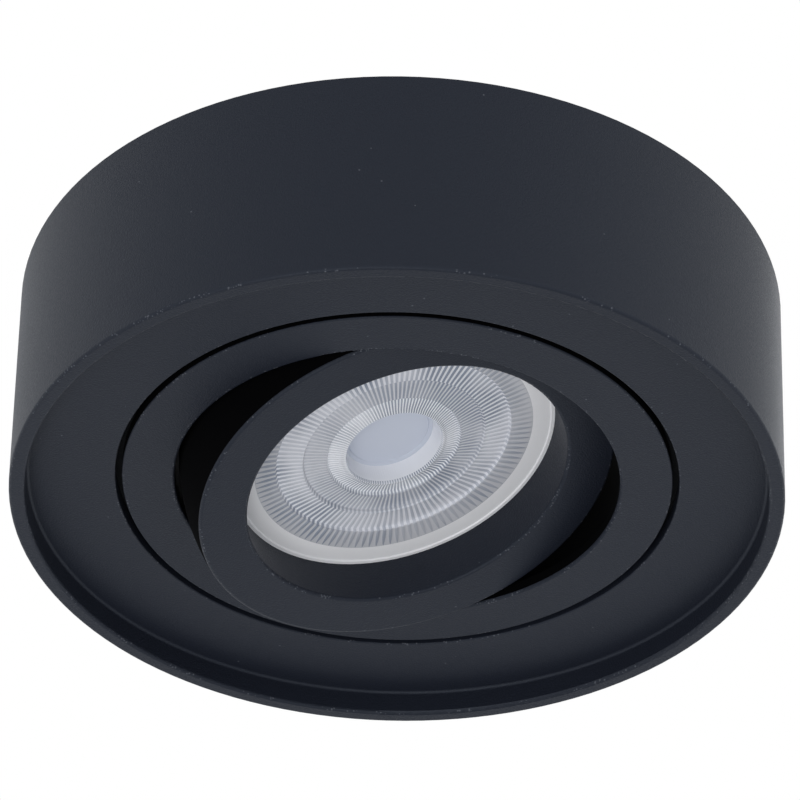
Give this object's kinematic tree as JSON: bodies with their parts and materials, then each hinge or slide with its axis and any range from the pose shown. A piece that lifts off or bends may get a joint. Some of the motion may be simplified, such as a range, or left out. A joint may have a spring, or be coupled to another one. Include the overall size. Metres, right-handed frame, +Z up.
{
  "type": "surface mounted ceiling spotlight",
  "caption": "Shallow black drum for a ceiling, with a recessed front ring that swivels and an inner lamp ring that tilts round a clear ribbed lens.",
  "frame": {"origin": "centre of the face that lies on the ceiling", "axes": "+Z up into the ceiling, +X along the bracket's strip towards the terminal block; the light hangs down -Z"},
  "size_m": [0.115, 0.115, 0.0413],
  "materials": {
    "black_powder_coat": "fine textured matt powder coat with a few bright flecks",
    "zinc_steel": "bright zinc plate",
    "black_steel": "black oxide",
    "black_rubber": "matt moulded rubber",
    "white_nylon": "natural nylon",
    "brass": "drawn and cut brass",
    "tinned_copper": "tin plate",
    "green_yellow_insulation": "green and yellow striped insulation",
    "brown_insulation": "satin insulation",
    "blue_insulation": "satin insulation",
    "white_sleeve": "braided glass fibre sleeve",
    "fibre": "pressed red fibre",
    "clear_lens": "clear moulded plastic with ribs and rings",
    "white_plastic": "white moulded plastic",
    "white_board": "white solder mask on aluminium",
    "yellow_phosphor": "phosphor over light emitting chips",
    "bare_aluminium": "die cast, lightly blasted",
    "green_board": "green solder mask",
    "black_component": "moulded component bodies",
    "spring_wire": "drawn spring steel"
  },
  "bodies": {
    "housing": {"housing_drum": "black_powder_coat", "mounting_bracket": "zinc_steel", "bracket_side_screws": "black_steel", "cable_bush": "black_rubber", "terminal_block": "white_nylon", "terminal_clamps": "brass", "terminal_screws": "zinc_steel", "terminal_fixing_screw": "zinc_steel", "earth_lug": "tinned_copper", "earth_screw": "zinc_steel", "earth_lead": "green_yellow_insulation", "live_core": "brown_insulation", "neutral_core": "blue_insulation", "module_lead": "white_sleeve"},
    "swivel": {"swivel_ring": "black_powder_coat", "swivel_washer": "fibre", "retaining_ring": "black_steel", "pivot_screws": "black_steel", "tilt_washers": "fibre"},
    "gimbal": {"gimbal_ring": "black_powder_coat", "module_lens": "clear_lens", "module_shell": "white_plastic", "led_board": "white_board", "led_chips": "yellow_phosphor", "heat_sink": "bare_aluminium", "driver_board": "green_board", "driver_parts": "black_component", "module_back_cover": "white_plastic", "module_screws": "zinc_steel", "lead_bush": "black_rubber", "module_retainer": "spring_wire"}
  },
  "joints": [
    {"name": "ring_swivel", "type": "hinge", "parent": "housing", "child": "swivel", "pos_m": [0, 0, -0.02585], "axis": [0, 0, 1], "range_deg": [-175, 175], "deforming": ["module_lead"]},
    {"name": "lamp_tilt", "type": "hinge", "parent": "swivel", "child": "gimbal", "pos_m": [0, 0, -0.02585], "axis": [-0.342, -0.9397, 0], "range_deg": [-37.8, 2.2], "deforming": ["module_lead"]}
  ]
}
